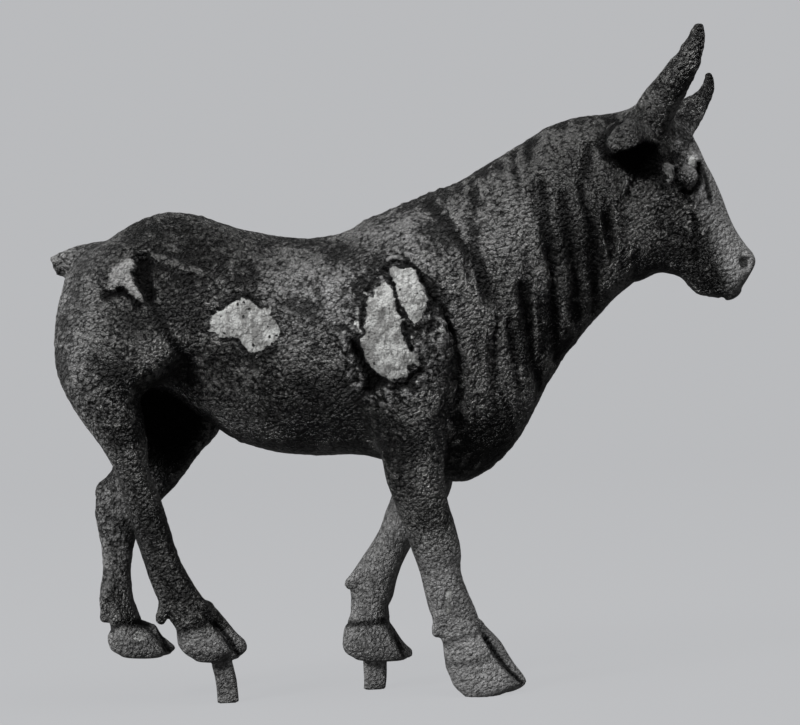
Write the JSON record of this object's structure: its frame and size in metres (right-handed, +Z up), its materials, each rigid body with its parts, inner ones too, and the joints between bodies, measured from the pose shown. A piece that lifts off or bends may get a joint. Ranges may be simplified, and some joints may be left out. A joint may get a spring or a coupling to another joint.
{
  "type": "bull figurine",
  "caption": "Cast-bronze walking bull with raised horns, stub tail, folded neck and a casting tang under two of its hooves.",
  "frame": {"origin": "centre of the bounding box at ground level, under the belly", "axes": "+X the way the bull walks and faces, +Y towards its left side, +Z up"},
  "size_m": [0.2108, 0.0574, 0.1943],
  "materials": {
    "bronze": "dark corroded crust with a rough fine grain and worn spots of bare metal"
  },
  "bodies": {
    "root": {"bull": "bronze"}
  },
  "joints": []
}
